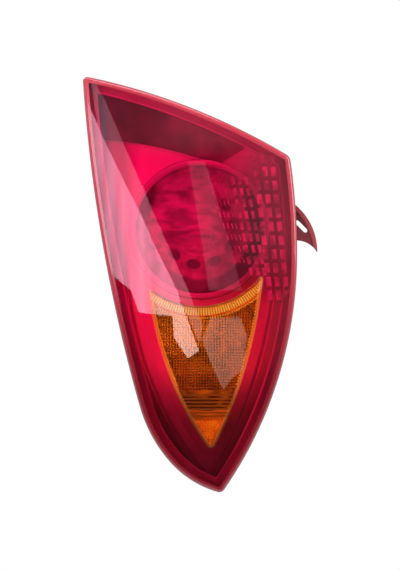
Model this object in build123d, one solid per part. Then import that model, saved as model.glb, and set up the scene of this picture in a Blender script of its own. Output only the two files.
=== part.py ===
from build123d import *
import os
from math import atan2, cos, degrees, radians, sin, sqrt, tan

os.makedirs("parts", exist_ok=True)

# Tail light cluster, left hand, in millimetres. The lens faces -Y, +Z is up and the
# mounting face of the housing is y = 0. Sizes are given from the axis of the round chamber;
# the finished pieces are moved so that the root of the upper stud is the origin.

# Outline seen from the front: inboard top corner, outboard top corner, widest place, point,
# heel and knee of the curved lower side
INNER_TOP_X = 112.8
INNER_TOP_Z = 148.6
OUTER_TOP_X = 86.8
OUTER_TOP_Z = 70.0
WAIST_X = 93.6
WAIST_Z = 24.0
POINT_X = 21.5
POINT_Z = 254.2
KNEE_X = 57.1
KNEE_Z = 169.5
HEEL_X = 29.0
HEEL_Z = 222.5
TOP_BULGE = 8.0
INNER_BULGE = 7.9
INNER_TOP_ROUND = 4.5
OUTER_TOP_ROUND = 9.0
POINT_ROUND = 6.0
LEAST_ROUND = 1.0

# Curved skin of the lens
LAMP_DEPTH = 118.0
CROWN_X = 15.0
CROWN_Z = 20.0
CROWN_R_ACROSS = 240.0
CROWN_R_TALL = 640.0

# Lens
LENS_WALL = 3.0
LENS_SKIRT = 24.0
LENS_EDGE_ROUND = 4.3
LENS_BORDER = 5.6
LENS_STEP = 1.0

# Seal and housing
SEAL_T = 1.5
SEAL_W = 2.2
SEAL_INSET = 1.0
FLANGE_INSET = 0.8
FLANGE_DEPTH = 12.0
HOUSING_WALL = 2.5
TUB_INSET = 14.0
TUB_BACK_ROUND = 5.0
TUB_CORNER_ROUND = 9.0
GUSSET_T = 2.0
GUSSET_L = 14.0
GUSSET_PITCH = 40.0
BACK_RIB_W = 2.0
BACK_RIB_H = 2.5
BACK_RIB_PITCH = 22.0
BACK_RIB_CLEAR = 6.0

# Round chamber
RING_R = 61.0
RING_BAND = 5.6
RING_WALL = 2.2
RING_BEAD = 5.0
RING_CLEAR = 1.6
BEZEL_HOLE_CLEAR = 0.5
BOWL_T = 2.0
BOWL_BACK_Y = 20.0
BULB_HOLE_R = 14.0
RIM_W = 3.0

# Stepped centre of the round chamber
MASK_T = 1.8
MASK_DOME_R = 24.0
MASK_DOME_RISE = 5.0
MASK_GROOVE = 1.6
MASK_CONE_R = 46.5
MASK_LIP = 2.2
MASK_RISE = 5.0
MASK_SLOPE = 10.0
APERTURES = 10
APERTURE_W = 13.4
APERTURE_H = 9.6
APERTURE_PITCH_R = 33.5
APERTURE_FIRST = 8.0

# Amber window: upper edge keeps this gap from the ring
AMBER_GAP = 6.6
AMBER_INNER_X = 50.0
AMBER_INNER_Z = 45.0
AMBER_OUTER_X = 61.0
AMBER_OUTER_Z = 40.0
AMBER_TIP_X = 11.5
AMBER_TIP_Z = 213.0
AMBER_INNER_BULGE = 12.5
AMBER_OUTER_BULGE = 9.0
AMBER_TIP_ROUND = 4.0
AMBER_CORNER_ROUND = 2.0
AMBER_WALL = 2.0
AMBER_FLANGE = 9.0
AMBER_RIB_PITCH = 2.4
AMBER_RIB_W = 1.3
AMBER_RIB_L = 7.5
AMBER_RIB_H = 1.2
AMBER_BAR_TOP_Z = 158.0
AMBER_BARS = 7
AMBER_BAR_PITCH = 3.4
AMBER_BAR_W = 1.7
WELD_GAP = 0.05

# Bezel tray and dark panel
BEZEL_INSET = 11.0
BEZEL_T = 2.0
BEZEL_DEPTH = 24.0
BEZEL_LIP = 2.0
LIP_DEPTH = 13.0
BEZEL_FLANGE_DEPTH = 17.0
TRIM_T = 2.0
TRIM_EDGE_R = 400.0
TRIM_EDGE_X = 125.0
TRIM_EDGE_Z = 87.8
TRIM_END_X = 47.0
TRIM_END_Z = 80.8
TRIM_END_LEAN = 33.0

# Optic panel
PANEL_T = 1.5
PANEL_GAP = 0.3
PANEL_EDGE = 1.0
PANEL_LOW_Z = 70.0
PAD_H = 0.9
WIDE_PAD_W = 4.8
WIDE_PAD_L = 9.2
WIDE_PAD_X = 60.0
WIDE_PAD_TOP_Z = 68.0
WIDE_PAD_PITCH = 8.2
WIDE_PAD_ROW = 13.1
WIDE_PAD_LEAN = 6.3
WIDE_PAD_COLUMNS = 3
WIDE_PAD_ROWS = 11
MID_PAD_W = 3.2
MID_PAD_L = 7.4
MID_PAD_X = 40.7
MID_PAD_TOP_Z = 46.0
MID_PAD_PITCH = 6.3
MID_PAD_ROW = 10.8
MID_PAD_LEAN = 11.3
MID_PAD_COLUMNS = 3
MID_PAD_ROWS = 9
FINE_PAD_W = 1.4
FINE_PAD_L = 5.4
FINE_PAD_X = 24.0
FINE_PAD_TOP_Z = 46.0
FINE_PAD_PITCH = 3.9
FINE_PAD_ROW = 10.8
FINE_PAD_LEAN = 18.3
FINE_PAD_COLUMNS = 4
FINE_PAD_ROWS = 8

# Turn chamber
TURN_X = 7.0
TURN_Z = 111.0
TURN_BOWL_R = 64.0
TURN_LEDGE_DROP = 6.0
TURN_COLLAR_W = 4.0
TURN_COLLAR_H = 5.0

# Posts and screws that carry the bowls
POST_R = 4.2
POST_GAP = 4.6
EAR_PAD_T = 2.4
SCREW_R = 1.5
SCREW_HEAD_R = 3.2
SCREW_HEAD_T = 2.0
SCREW_LENGTH = 12.0

# Locating ear
EAR_REACH = 20.5
EAR_TOP_Z = 24.5
EAR_TIP_Z = 21.5
EAR_LOW_Z = 13.5
EAR_DEPTH = 9.0
EAR_WEB = 3.0
EAR_RIM = 3.6
EAR_SLOT_W = 4.0
EAR_SLOT_L = 15.0
EAR_SLOT_X = 5.2
EAR_SLOT_Z = 3.6
EAR_TONGUE_L = 14.0
EAR_TONGUE_T = 2.0

# Bulbs
BULB_BASE_R = 7.5
BULB_BASE_L = 18.0
BULB_GLASS_R = 12.4
BULB_GLASS_L = 33.0
GLASS_T = 0.8
BAYONET_R = 1.0
BAYONET_REACH = 1.6
FILAMENT_R = 0.35
FILAMENT_L = 6.0
FILAMENT_SPREAD = 2.5

# Carrier plate for the bulbs
HOLDER_W = 62.0
HOLDER_END = 31.0
HOLDER_T = 3.0
HOLDER_ROUND = 12.0
HOLDER_LAND = 7.0
GASKET_T = 1.5
GASKET_W = 5.0
SOCKET_WALL = 2.6
SOCKET_L = 16.0
SOCKET_FIT = 0.15
HOOK_L = 16.0
HOOK_T = 2.6
HOOK_NOSE = 2.2
HOOK_CLEAR = 0.3

# Electrical pieces
RAIL_T = 0.8
RAIL_W = 2.4
RAIL_OFFSET = 4.0
EARTH_RAIL_OUT = 3.6
SHELL_W = 34.0
SHELL_H = 19.0
SHELL_DEPTH = 16.0
SHELL_WALL = 2.0
BLADE_W = 2.8
BLADE_T = 0.8
BLADE_PITCH = 5.6
BLADE_REACH = 8.0
SPRING_R = 1.7
SLOT_FIT = 0.15

# Studs, foam ring and breather
UPPER_STUD_X = 34.0
UPPER_STUD_Z = 84.0
LOWER_STUD_X = 9.0
LOWER_STUD_Z = 186.0
STUD_R = 3.0
STUD_LENGTH = 22.0
STUD_ROOT_R = 5.0
STUD_ROOT_L = 9.0
BOSS_WALL = 3.5
FOAM_T = 6.0
FOAM_W = 8.0
FOAM_LAND = 1.0
VENT_X = 44.0
VENT_Z = 40.0
VENT_R = 6.0
VENT_STEM_R = 3.0
VENT_BORE_R = 1.2
SEAT_GAP = 0.1


def front(y):
    """Plane seen from the front at depth y."""
    return Plane((0, y, 0), x_dir=(1, 0, 0), z_dir=(0, -1, 0))


def prism(shape, y_front, y_back):
    """Solid of a front-view shape between two depths."""
    return extrude(front(y_back) * shape, amount=y_back - y_front)


def skin(depth):
    """Everything that lies deeper than this below the crowned front of the lens."""
    tube = Pos(-CROWN_X, CROWN_R_ACROSS - LAMP_DEPTH, -CROWN_Z) * Circle(CROWN_R_ACROSS - depth)
    axis = Axis((0, CROWN_R_TALL - LAMP_DEPTH, -CROWN_Z), (1, 0, 0))
    return revolve(tube.rotate(axis, -SWEEP / 2), axis, SWEEP)


def skin_y(x, z, depth):
    """Y of the crowned surface at a front-view place."""
    across = sqrt((CROWN_R_ACROSS - depth) ** 2 - (x + CROWN_X) ** 2)
    tall = CROWN_R_TALL - CROWN_R_ACROSS + across
    return CROWN_R_TALL - LAMP_DEPTH - sqrt(tall ** 2 - (z + CROWN_Z) ** 2)


def deepest_round(radius, depth):
    """Rearmost Y of the crowned surface along a circle round the chamber axis."""
    return max(skin_y(radius * cos(radians(a)), radius * sin(radians(a)), depth)
               for a in range(0, 360, 5))


def nearest(shape, x, z):
    """Corner of a flat shape that lies closest to a place."""
    return min(shape.vertices(), key=lambda v: (v.X - x) ** 2 + (v.Y - z) ** 2)


def meet(one, two, near):
    """Where two circles, each a centre and a radius, cross or touch, nearest to a place."""
    (c1, r1), (c2, r2) = one, two
    way = c2 - c1
    along = (r1 ** 2 - r2 ** 2 + way.length ** 2) / (2 * way.length)
    aside = sqrt(max(r1 ** 2 - along ** 2, 0))
    foot = c1 + way * (along / way.length)
    turn = Vector(-way.Y, way.X) * (aside / way.length)
    return min(foot + turn, foot - turn, key=lambda p: (p - near).length)


def loop(sides, corners, rounds, inset, least):
    """Closed shape of arcs, moved inwards. A side is (arc, +1 bulging or -1 hollow)."""
    rings = [(arc.arc_center, arc.radius - sign * inset) for arc, sign in sides]
    spots = [meet(rings[i - 1], rings[i], corner) for i, corner in enumerate(corners)]
    arcs = []
    for i, (centre, radius) in enumerate(rings):
        a = spots[i]
        b = spots[(i + 1) % len(spots)]
        arcs.append(ThreePointArc(a, centre + ((a + b) / 2 - centre).normalized() * radius, b))
    shape = make_face(arcs)
    for spot, size in zip(spots, rounds):
        if size:
            shape = fillet(nearest(shape, spot.X, spot.Y), max(size - inset, least))
    return shape


def outline(inset=0.0, least=LEAST_ROUND):
    """Lamp outline moved inwards, with corners no sharper than the least radius."""
    inner_top = Vector(-INNER_TOP_X, INNER_TOP_Z)
    outer_top = Vector(OUTER_TOP_X, OUTER_TOP_Z)
    waist = Vector(WAIST_X, -WAIST_Z)
    point = Vector(POINT_X, -POINT_Z)
    heel = Vector(-HEEL_X, -HEEL_Z)
    knee = Vector(-KNEE_X, -KNEE_Z)
    inner_side = SagittaArc(inner_top, knee, -INNER_BULGE)
    lower_side = TangentArc(knee, heel, tangent=inner_side % 1)
    sides = [
        (SagittaArc(inner_top, outer_top, TOP_BULGE), 1),
        (TangentArc(waist, outer_top, tangent=(0, 1)), 1),
        (TangentArc(waist, point, tangent=(0, -1)), 1),
        (TangentArc(heel, point, tangent=lower_side % 1), 1),
        (lower_side, 1),
        (inner_side, 1),
    ]
    rounds = [INNER_TOP_ROUND, OUTER_TOP_ROUND, 0, POINT_ROUND, 0, 0]
    return loop(sides, [inner_top, outer_top, waist, point, heel, knee], rounds, inset, least)


def amber(outset=0.0):
    """Amber window moved outwards, or inwards when negative."""
    tip = Vector(AMBER_TIP_X, -AMBER_TIP_Z)
    inner = Vector(-AMBER_INNER_X, -AMBER_INNER_Z)
    outer = Vector(AMBER_OUTER_X, -AMBER_OUTER_Z)
    sides = [
        (CenterArc((0, 0), AMBER_TOP_R, 180, 180), -1),
        (SagittaArc(outer, tip, AMBER_OUTER_BULGE), 1),
        (SagittaArc(inner, tip, -AMBER_INNER_BULGE), 1),
    ]
    rounds = [AMBER_CORNER_ROUND, AMBER_CORNER_ROUND, AMBER_TIP_ROUND]
    return loop(sides, [inner, outer, tip], rounds, -outset, LEAST_ROUND)


def columns(x, top_z, pitch, row, lean, count, rows, w, h):
    """Leaning columns of small rectangles, outwards from the first one."""
    marks = []
    for k in range(rows):
        z = top_z - k * row
        for i in range(count):
            place = Pos(x + i * pitch - z * tan(radians(lean)), z)
            marks.append(place * Rot(0, 0, lean) * Rectangle(w, h))
    return Sketch() + marks


def round_box(w, h, r):
    return RectangleRounded(w, h, r)


def turned(points, x=0.0, z=0.0):
    """Body of revolution about an axis along Y, from (radius, y) corners."""
    return Pos(x, 0, z) * revolve(make_face(Polyline(*points, close=True)), Axis.Y)


def bar(r, y0, y1, x=0.0, z=0.0):
    """Round bar along Y."""
    return prism(Pos(x, z) * Circle(r), y0, y1)


def bowl_curve(r0, y0, r1, y1):
    """Parabola between two radii, about the Y axis."""
    bend = (y1 - y0) / (r1 ** 2 - r0 ** 2)
    return Bezier((r0, y0), ((r0 + r1) / 2, y0 + bend * r0 * (r1 - r0)), (r1, y1))


SWEEP = 70.0
FAR = -LAMP_DEPTH - 20.0
SHOULDER = LENS_SKIRT + SEAL_T + FLANGE_DEPTH
RING_OUT = RING_R + RING_BAND
AMBER_TOP_R = RING_OUT + AMBER_GAP
OUTLINE = outline()
AMBER = amber()
PAD_DEPTH = LENS_WALL + PANEL_GAP
PANEL_DEPTH = PAD_DEPTH + PAD_H
PANEL_BACK = PANEL_DEPTH + PANEL_T
STOP_POSTS = [40.0, 105.0, 172.0]
POST_RING = RING_OUT + POST_GAP
RING_FRONT = deepest_round(RING_OUT, PANEL_BACK) + RING_CLEAR
RIM_Y = deepest_round(POST_RING + POST_R, BEZEL_DEPTH + BEZEL_T) + SCREW_HEAD_T + RING_CLEAR
nodes = {}

# Red outer lens: crowned face, a lower rounded border, a skirt and a window for the amber part
block = prism(OUTLINE, FAR, 0) & skin(LENS_STEP)
face = block.faces().filter_by(GeomType.TORUS).sort_by(SortBy.AREA)[-1]
block = fillet(face.edges(), LENS_EDGE_ROUND)
block += (prism(outline(LENS_BORDER), FAR, 0) & skin(0)) - skin(2 * LENS_STEP)
hollow = prism(outline(LENS_WALL), FAR, 0) & skin(LENS_WALL)
nodes["outer_lens"] = block - skin(LENS_SKIRT) - hollow - prism(amber(WELD_GAP), FAR, 0)

# Amber window: flush face, side wall and a flange that rests on the bezel
flange_back = BEZEL_DEPTH - SEAT_GAP
flange = amber(AMBER_FLANGE) - Circle(RING_OUT + BEZEL_HOLE_CLEAR)
window = prism(AMBER, FAR, 0) & skin(0)
window -= prism(amber(-AMBER_WALL), FAR, 0) & skin(LENS_WALL)
window -= skin(flange_back)
foot = prism(flange, FAR, 0) - prism(amber(-AMBER_WALL), FAR, 0)
foot = (foot & skin(flange_back - AMBER_WALL)) - skin(flange_back)
ribs = []
rib_r = AMBER_TOP_R + AMBER_WALL * 0.7 + AMBER_RIB_L / 2
step = degrees(AMBER_RIB_PITCH / rib_r)
first = degrees(atan2(-AMBER_INNER_Z, -AMBER_INNER_X))
last = degrees(atan2(-AMBER_OUTER_Z, AMBER_OUTER_X))
for i in range(int((last - first) / step) + 1):
    ribs.append(Rot(0, 0, first + i * step) * Pos(rib_r, 0) * Rectangle(AMBER_RIB_L, AMBER_RIB_W))
for i in range(AMBER_BARS):
    bar_z = -AMBER_BAR_TOP_Z - i * AMBER_BAR_PITCH
    ribs.append(Pos(AMBER_TIP_X, bar_z) * Rectangle(2 * AMBER_OUTER_X, AMBER_BAR_W))
ribs = (Sketch() + ribs) & amber(-AMBER_WALL * 0.4)
ribs = prism(ribs, FAR, 0) & skin(LENS_WALL / 2)
ribs -= skin(LENS_WALL + AMBER_RIB_H)
nodes["amber_lens"] = window + foot + ribs

# Optic panel behind the lens: a disc before the ring and an outboard wing, with raised pads
side = outline(LENS_WALL + PANEL_EDGE) & Pos(INNER_TOP_X, 0) * Rectangle(2 * INNER_TOP_X, 2 * PANEL_LOW_Z)
shape = side + Circle(RING_OUT) - amber(PANEL_EDGE)
panel = (prism(shape, FAR, 0) & skin(PANEL_DEPTH)) - skin(PANEL_BACK)
pads = columns(WIDE_PAD_X, WIDE_PAD_TOP_Z, WIDE_PAD_PITCH, WIDE_PAD_ROW, WIDE_PAD_LEAN,
               WIDE_PAD_COLUMNS, WIDE_PAD_ROWS, WIDE_PAD_W, WIDE_PAD_L)
pads += columns(MID_PAD_X, MID_PAD_TOP_Z, MID_PAD_PITCH, MID_PAD_ROW, MID_PAD_LEAN,
                MID_PAD_COLUMNS, MID_PAD_ROWS, MID_PAD_W, MID_PAD_L)
pads += columns(FINE_PAD_X, FINE_PAD_TOP_Z, FINE_PAD_PITCH, FINE_PAD_ROW, FINE_PAD_LEAN,
                FINE_PAD_COLUMNS, FINE_PAD_ROWS, FINE_PAD_W, FINE_PAD_L)
pads = (prism(pads & shape, FAR, 0) & skin(PAD_DEPTH)) - skin(PANEL_DEPTH + PANEL_T / 2)
nodes["optic_panel"] = panel + pads

# Bezel: tray plate with the two openings, upstanding lip and a flange towards the skirt
plate = outline(BEZEL_INSET) - Circle(RING_OUT + BEZEL_HOLE_CLEAR) - amber(-AMBER_WALL)
bezel = (prism(plate, FAR, 0) & skin(BEZEL_DEPTH)) - skin(BEZEL_DEPTH + BEZEL_T)
wall = outline(BEZEL_INSET) - outline(BEZEL_INSET + BEZEL_LIP)
bezel += (prism(wall, FAR, 0) & skin(LIP_DEPTH)) - skin(SHOULDER - SEAT_GAP)
ledge = outline(LENS_WALL + PANEL_EDGE) - outline(BEZEL_INSET + BEZEL_LIP / 2)
bezel += (prism(ledge, FAR, 0) & skin(BEZEL_FLANGE_DEPTH)) - skin(BEZEL_FLANGE_DEPTH + BEZEL_T)
nodes["bezel"] = bezel

# Dark panel that lies on the bezel under the upper edge
arc_z = -TRIM_EDGE_R + TRIM_EDGE_Z
trim = outline(BEZEL_INSET + BEZEL_LIP + SEAT_GAP) - Pos(-TRIM_EDGE_X, arc_z) * Circle(TRIM_EDGE_R)
trim -= Circle(RING_OUT + BEZEL_HOLE_CLEAR + SEAT_GAP)
far_end = Pos(TRIM_END_X, TRIM_END_Z) * Rot(0, 0, TRIM_END_LEAN)
trim &= far_end * Pos(0, 2 * INNER_TOP_X) * Rectangle(8 * INNER_TOP_X, 4 * INNER_TOP_X)
trim = trim.faces().sort_by(SortBy.AREA)[-1]
trim_back = BEZEL_DEPTH - SEAT_GAP
nodes["upper_trim"] = (prism(trim, FAR, 0) & skin(trim_back - TRIM_T)) - skin(trim_back)

# Bright ring: rounded bead in front, collar through the bezel, foot on the bowl's rim
bead = make_face([
    Line((RING_R, RIM_Y), (RING_R, RING_FRONT + RING_BAND / 2)),
    ThreePointArc((RING_R, RING_FRONT + RING_BAND / 2), (RING_R + RING_BAND / 2, RING_FRONT),
                  (RING_OUT, RING_FRONT + RING_BAND / 2)),
    Polyline((RING_OUT, RING_FRONT + RING_BAND / 2), (RING_OUT, RING_FRONT + RING_BEAD),
             (RING_R + RING_WALL, RING_FRONT + RING_BEAD), (RING_R + RING_WALL, RIM_Y),
             (RING_R, RIM_Y)),
])
nodes["ring_trim"] = revolve(bead, Axis.Y)

# Stepped centre with a ring of oval apertures
floor_y = RIM_Y - MASK_T
lip_y = floor_y - MASK_RISE
cone_y = lip_y - MASK_SLOPE
lip_r = MASK_CONE_R + MASK_LIP
dome_end = MASK_DOME_R + MASK_GROOVE
mask = make_face([
    ThreePointArc((0, cone_y - MASK_DOME_RISE),
                  (MASK_DOME_R / 2, cone_y - MASK_DOME_RISE * 0.75), (MASK_DOME_R, cone_y)),
    Polyline((MASK_DOME_R, cone_y), (MASK_DOME_R, cone_y + MASK_GROOVE),
             (dome_end, cone_y + MASK_GROOVE), (dome_end, cone_y),
             (MASK_CONE_R, lip_y), (MASK_CONE_R, lip_y - MASK_GROOVE),
             (lip_r, lip_y - MASK_GROOVE), (lip_r, floor_y), (RING_R - SEAT_GAP, floor_y),
             (RING_R - SEAT_GAP, RIM_Y), (lip_r - MASK_T, RIM_Y), (lip_r - MASK_T, lip_y + MASK_T),
             (MASK_CONE_R - MASK_T, lip_y + MASK_T), (dome_end, cone_y + MASK_GROOVE + MASK_T),
             (0, cone_y + MASK_GROOVE + MASK_T), (0, cone_y - MASK_DOME_RISE)),
])
mask = revolve(mask, Axis.Y)
for i in range(APERTURES):
    place = Rot(0, 0, APERTURE_FIRST + i * 360 / APERTURES) * Pos(APERTURE_PITCH_R, 0)
    place *= Ellipse(APERTURE_H / 2, APERTURE_W / 2)
    mask -= prism(place, FAR, 0)
nodes["stop_mask"] = mask

# Bowl of the round chamber, with a flat rim and three screw pads
rim_in = RING_R - RIM_W
back = -BOWL_BACK_Y
bowl = make_face([
    bowl_curve(BULB_HOLE_R, back, rim_in, RIM_Y),
    Polyline((rim_in, RIM_Y), (RING_OUT, RIM_Y), (RING_OUT, RIM_Y + BOWL_T),
             (rim_in + BOWL_T, RIM_Y + BOWL_T)),
    bowl_curve(BULB_HOLE_R, back + BOWL_T, rim_in + BOWL_T, RIM_Y + BOWL_T),
    Line((BULB_HOLE_R, back + BOWL_T), (BULB_HOLE_R, back)),
])
bowl = revolve(bowl, Axis.Y)
pad_y = RIM_Y + EAR_PAD_T
stop_places = [(POST_RING * cos(radians(a)), POST_RING * sin(radians(a))) for a in STOP_POSTS]
for a, (x, z) in zip(STOP_POSTS, stop_places):
    pad = Rot(0, 0, a) * (Pos(POST_RING, 0) * Circle(POST_R)
                          + Pos(POST_RING - POST_R, 0) * Rectangle(2 * POST_R, 2 * POST_R))
    pad -= Circle(RING_OUT - RIM_W / 2)
    bowl += prism(pad, RIM_Y, pad_y)
    bowl -= bar(SCREW_R + SLOT_FIT, FAR, 0, x, z)
nodes["stop_reflector"] = bowl

# Bowl of the turn chamber: parabola within the window's outline, collar and flat ledge near the point
turn_back = -BOWL_BACK_Y
bowl_front = BEZEL_DEPTH + BEZEL_T + SEAT_GAP
ledge_y = skin_y(AMBER_TIP_X, -AMBER_TIP_Z, bowl_front) + TURN_LEDGE_DROP
reach = AMBER_TIP_Z


def turn_front(shift):
    """Everything before the turn bowl's surface, moved back by a wall."""
    shape = make_face([
        bowl_curve(BULB_HOLE_R, turn_back + shift, TURN_BOWL_R, ledge_y + shift),
        Polyline((TURN_BOWL_R, ledge_y + shift), (reach, ledge_y + shift), (reach, FAR), (0, FAR),
                 (0, turn_back + shift), (BULB_HOLE_R, turn_back + shift)),
    ])
    return Pos(TURN_X, 0, -TURN_Z) * revolve(shape, Axis.Y)


turn = prism(AMBER, FAR, 0) & turn_front(BOWL_T) & skin(bowl_front)
turn -= prism(amber(-AMBER_WALL), FAR, 0) & turn_front(0)
turn -= bar(BULB_HOLE_R, FAR, 0, TURN_X, -TURN_Z)
collar = Pos(TURN_X, -TURN_Z) * (Circle(TURN_BOWL_R + TURN_COLLAR_W) - Circle(TURN_BOWL_R))
collar &= amber(-AMBER_WALL / 2) & Pos(TURN_X, -2 * TURN_Z) * Rectangle(2 * reach, 2 * TURN_Z)
turn += prism(collar, ledge_y - TURN_COLLAR_H, ledge_y + BOWL_T / 2)
turn_pad_y = (turn_back + ledge_y) / 2
turn_row = AMBER & Pos(0, -TURN_Z) * Rectangle(2 * INNER_TOP_X, 2 * POST_R)
turn_box = turn_row.bounding_box()
turn_places = [(turn_box.min.X - POST_GAP, -TURN_Z), (turn_box.max.X + POST_GAP, -TURN_Z)]
for x, z in turn_places:
    inward = 1 if x < TURN_X else -1
    pad = Pos(x, z) * Circle(POST_R) + Pos(x + inward * POST_GAP, z) * Rectangle(2 * POST_GAP, 2 * POST_R)
    pad -= amber(-AMBER_WALL / 2)
    turn += prism(pad, turn_pad_y - EAR_PAD_T, turn_pad_y)
    turn -= bar(SCREW_R + SLOT_FIT, turn_pad_y - 2 * EAR_PAD_T, turn_pad_y + EAR_PAD_T, x, z)
nodes["turn_reflector"] = turn

# Screws through the pads of both bowls
screws = []
for x, z in stop_places + turn_places:
    seat = (RIM_Y if (x, z) in stop_places else turn_pad_y - EAR_PAD_T)
    screw = bar(SCREW_HEAD_R, seat - SCREW_HEAD_T, seat, x, z) + bar(SCREW_R, seat, seat + SCREW_LENGTH, x, z)
    screw -= prism(Pos(x, z) * Rectangle(SCREW_R * 2.4, SCREW_R / 2), FAR, seat - SCREW_HEAD_T / 2)
    screw -= prism(Pos(x, z) * Rectangle(SCREW_R / 2, SCREW_R * 2.4), FAR, seat - SCREW_HEAD_T / 2)
    screws.append(screw)
nodes["reflector_screws"] = Part() + screws

# Carrier plate place on the back of the housing, over both bulbs
holder_x = TURN_X / 2
holder_z = -TURN_Z / 2
holder_h = TURN_Z + 2 * HOLDER_END
plate_shape = Pos(holder_x, holder_z) * round_box(HOLDER_W, holder_h, HOLDER_ROUND)
mouth_round = HOLDER_ROUND - HOLDER_LAND
mouth = Pos(holder_x, holder_z) * round_box(HOLDER_W - 2 * HOLDER_LAND, holder_h - 2 * HOLDER_LAND, mouth_round)
plate_back = GASKET_T + HOLDER_T

# Rear housing: flange under the lens, shoulder with gussets and a deep tub
tub = prism(outline(TUB_INSET, TUB_CORNER_ROUND), FAR, 0)
tub = fillet(tub.faces().sort_by(Axis.Y)[-1].edges(), TUB_BACK_ROUND) & skin(SHOULDER + HOUSING_WALL / 2)
rim = (prism(outline(FLANGE_INSET), FAR, 0) & skin(LENS_SKIRT + SEAL_T)) - skin(SHOULDER + HOUSING_WALL)
rim_hollow = prism(outline(FLANGE_INSET + HOUSING_WALL), FAR, 0) - skin(SHOULDER)
tub_hollow = prism(outline(TUB_INSET + HOUSING_WALL, TUB_CORNER_ROUND - HOUSING_WALL), FAR, -HOUSING_WALL)
strips = Sketch()
for i in range(-5, 5):
    strips += Pos(0, i * GUSSET_PITCH) * Rectangle(4 * INNER_TOP_X, GUSSET_T)
    strips += Pos(i * GUSSET_PITCH, INNER_TOP_Z) * Rectangle(GUSSET_T, 2 * INNER_TOP_Z)
strips &= outline(FLANGE_INSET + HOUSING_WALL) - outline(TUB_INSET + HOUSING_WALL / 2, TUB_CORNER_ROUND)
gussets = (prism(strips, FAR, 0) & skin(SHOULDER + HOUSING_WALL / 2)) - skin(SHOULDER + GUSSET_L)
housing = tub + rim - rim_hollow - tub_hollow + gussets - prism(mouth, FAR, 1)
for x, z in stop_places:
    housing += bar(POST_R, pad_y, -HOUSING_WALL / 2, x, z)
    housing -= bar(SCREW_R + SLOT_FIT, FAR, RIM_Y + SCREW_LENGTH + 1, x, z)
for x, z in turn_places:
    housing += bar(POST_R, turn_pad_y, -HOUSING_WALL / 2, x, z)
    housing -= bar(SCREW_R + SLOT_FIT, FAR, turn_pad_y - EAR_PAD_T + SCREW_LENGTH + 1, x, z)
stud_places = [(-UPPER_STUD_X, UPPER_STUD_Z), (LOWER_STUD_X, -LOWER_STUD_Z)]
for x, z in stud_places:
    housing += bar(STUD_ROOT_R + BOSS_WALL, -STUD_ROOT_L - BOSS_WALL, -HOUSING_WALL / 2, x, z)
    housing -= bar(STUD_ROOT_R + WELD_GAP, -STUD_ROOT_L - WELD_GAP, 1, x, z)
hook_top = plate_back + HOOK_CLEAR
for sign in (-1, 1):
    for z in (0.0, -TURN_Z):
        out = holder_x + sign * (HOLDER_W / 2 + HOOK_CLEAR + HOOK_T / 2)
        nose = out - sign * HOOK_NOSE
        housing += prism(Pos(out, z) * Rectangle(HOOK_T, HOOK_L), -HOUSING_WALL / 2, hook_top + HOOK_T)
        housing += prism(Pos(nose, z) * Rectangle(HOOK_T + HOOK_NOSE / 2, HOOK_L), hook_top, hook_top + HOOK_T)
foam_in = TUB_INSET + TUB_BACK_ROUND + FOAM_LAND
back_ribs = Sketch()
for i in range(-9, 5):
    back_ribs += Pos(0, holder_z + (i + 2) * BACK_RIB_PITCH) * Rectangle(4 * INNER_TOP_X, BACK_RIB_W)
back_ribs &= outline(foam_in + FOAM_W + SEAT_GAP)
keep_w = HOLDER_W + 2 * (HOOK_T + BACK_RIB_CLEAR)
back_ribs -= Pos(holder_x, holder_z) * Rectangle(keep_w, holder_h + 2 * BACK_RIB_CLEAR)
back_ribs -= Pos(VENT_X, VENT_Z) * Circle(VENT_R + BACK_RIB_CLEAR)
for x, z in stud_places:
    back_ribs -= Pos(x, z) * Circle(STUD_ROOT_R + BOSS_WALL + BACK_RIB_CLEAR)
housing += prism(back_ribs, -HOUSING_WALL / 2, BACK_RIB_H)
housing -= bar(VENT_STEM_R + WELD_GAP, -2 * HOUSING_WALL, 1, VENT_X, VENT_Z)

# Locating ear behind the outboard edge: web with a slot, raised outer rim and a tongue
ear_z = (EAR_TOP_Z - EAR_LOW_Z) / 2
ear_front = skin_y(WAIST_X, EAR_TOP_Z, LENS_SKIRT + SEAL_T) + SEAL_T
ear_back = ear_front + EAR_DEPTH
root_x = WAIST_X - FLANGE_DEPTH
tip_x = WAIST_X + EAR_REACH
ear = make_face([
    ThreePointArc((WAIST_X - FLANGE_INSET, EAR_TOP_Z), (WAIST_X + EAR_REACH * 0.63, ear_z + EAR_SLOT_X / 2),
                  (tip_x, -EAR_TIP_Z)),
    ThreePointArc((tip_x, -EAR_TIP_Z), (WAIST_X + EAR_REACH * 0.62, -EAR_LOW_Z), (root_x, -EAR_LOW_Z)),
    Polyline((root_x, -EAR_LOW_Z), (root_x, EAR_TOP_Z), (WAIST_X - FLANGE_INSET, EAR_TOP_Z)),
])
inside = Pos(-EAR_RIM, -EAR_RIM / 2) * ear
slot = Pos(WAIST_X + EAR_SLOT_X, EAR_SLOT_Z) * Rot(0, 0, -45) * SlotOverall(EAR_SLOT_L, EAR_SLOT_W)
ear_solid = prism(ear, ear_front, ear_back) - prism(inside, FAR, ear_back - EAR_WEB)
ear_solid -= prism(slot, FAR, 0)
ear_solid -= prism(outline(FLANGE_INSET - SEAT_GAP), FAR, 0)
tongue_y = ear_back - EAR_WEB / 2
tongue_x = WAIST_X - FLANGE_INSET - HOUSING_WALL
tongue = Pos((tongue_x + WAIST_X) / 2, tongue_y, -EAR_LOW_Z + EAR_TONGUE_L / 2)
tongue_len = WAIST_X - tongue_x
ear_solid += tongue * Box(tongue_len, EAR_TONGUE_T, EAR_TONGUE_L - 4)
housing -= tongue * Box(4 * tongue_len, EAR_TONGUE_T + 2 * SEAT_GAP, EAR_TONGUE_L - 4 + 2 * SEAT_GAP)
nodes["locating_ear"] = ear_solid
nodes["housing"] = housing

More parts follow.
